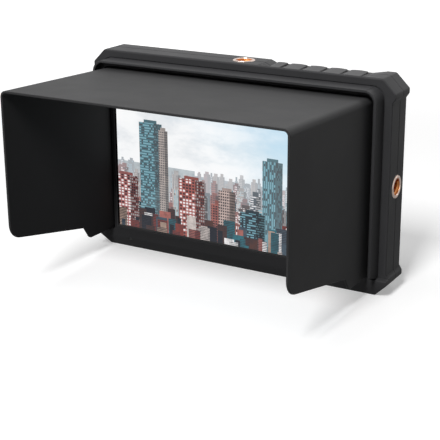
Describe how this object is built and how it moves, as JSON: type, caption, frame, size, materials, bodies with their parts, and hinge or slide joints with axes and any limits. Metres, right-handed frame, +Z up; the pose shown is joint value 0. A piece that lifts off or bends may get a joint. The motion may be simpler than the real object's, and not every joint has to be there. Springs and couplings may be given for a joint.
{
  "type": "camera field monitor with sun hood",
  "caption": "Flat camera-top field monitor: two-shell case, collar and push-on bent sun hood, top keys, threaded inserts, side sockets and a battery plate at the back.",
  "frame": {"origin": "mouth of the tripod thread in the middle of the underside, on the joint plane of the two shells", "axes": "+X along the width to the viewer's right, +Y from the screen side towards the back, +Z up"},
  "size_m": [0.1336, 0.0889, 0.0842],
  "materials": {
    "front_plastic": "fine moulded texture",
    "cover_plastic": "fine moulded texture",
    "hood_plastic": "satin sheet",
    "display": "lit display",
    "light_guide": "diffuser",
    "steel_sheet": "bright sheet",
    "foam": "foam",
    "aluminium_sheet": "satin",
    "ribbon": "film",
    "circuit_board": "solder mask",
    "chip_black": "moulded",
    "socket_metal": "plated",
    "socket_black": "moulded",
    "key_rubber": "matte",
    "insert_brass": "machined",
    "status_lens": "smoked",
    "plate_plastic": "moulded",
    "contact_gold": "plated",
    "lead_wire": "sleeve",
    "spring_steel": "bright",
    "screw_black": "blackened"
  },
  "bodies": {
    "case": {"front_housing": "front_plastic", "rear_cover": "cover_plastic", "lcd_glass": "display", "backlight": "light_guide", "display_tray": "steel_sheet", "display_pad": "foam", "chassis_plate": "aluminium_sheet", "ribbon_cable": "ribbon", "main_board": "circuit_board", "board_parts": "chip_black", "thermal_pad": "foam", "heat_sink": "aluminium_sheet", "video_in_socket": "socket_metal", "video_out_socket": "socket_metal", "power_socket": "socket_black", "headphone_socket": "socket_black", "key_board": "circuit_board", "key_switches": "chip_black", "key_bezel": "key_rubber", "top_insert": "insert_brass", "side_insert": "insert_brass", "bottom_insert": "insert_brass", "status_light": "status_lens", "battery_plate": "plate_plastic", "battery_contacts": "contact_gold", "battery_leads": "lead_wire", "latch_spring": "spring_steel", "cover_screws": "screw_black", "chassis_screws": "spring_steel", "board_screws": "spring_steel", "plate_screws": "screw_black"},
    "hood": {"sun_hood": "hood_plastic"},
    "power_button": {"power_key": "key_rubber"},
    "input_button": {"input_key": "key_rubber"},
    "menu_button": {"menu_key": "key_rubber"},
    "left_button": {"left_key": "key_rubber"},
    "right_button": {"right_key": "key_rubber"},
    "latch": {"latch_button": "plate_plastic"}
  },
  "joints": [
    {"name": "hood_slide", "type": "slide", "parent": "case", "child": "hood", "axis": [0, -0.9991, 0.0426], "range_m": [0, 0.015]},
    {"name": "power_press", "type": "slide", "parent": "case", "child": "power_button", "axis": [0, 0, -1], "range_m": [0, 0.0004], "stiffness_N_per_m": 300},
    {"name": "input_press", "type": "slide", "parent": "case", "child": "input_button", "axis": [0, 0, -1], "range_m": [0, 0.0004], "stiffness_N_per_m": 300},
    {"name": "menu_press", "type": "slide", "parent": "case", "child": "menu_button", "axis": [0, 0, -1], "range_m": [0, 0.0004], "stiffness_N_per_m": 300},
    {"name": "left_press", "type": "slide", "parent": "case", "child": "left_button", "axis": [0, 0, -1], "range_m": [0, 0.0004], "stiffness_N_per_m": 300},
    {"name": "right_press", "type": "slide", "parent": "case", "child": "right_button", "axis": [0, 0, -1], "range_m": [0, 0.0004], "stiffness_N_per_m": 300},
    {"name": "latch_press", "type": "slide", "parent": "case", "child": "latch", "axis": [0, -1, 0], "range_m": [0, 0.0013], "stiffness_N_per_m": 400, "deforming": ["latch_spring"]}
  ]
}
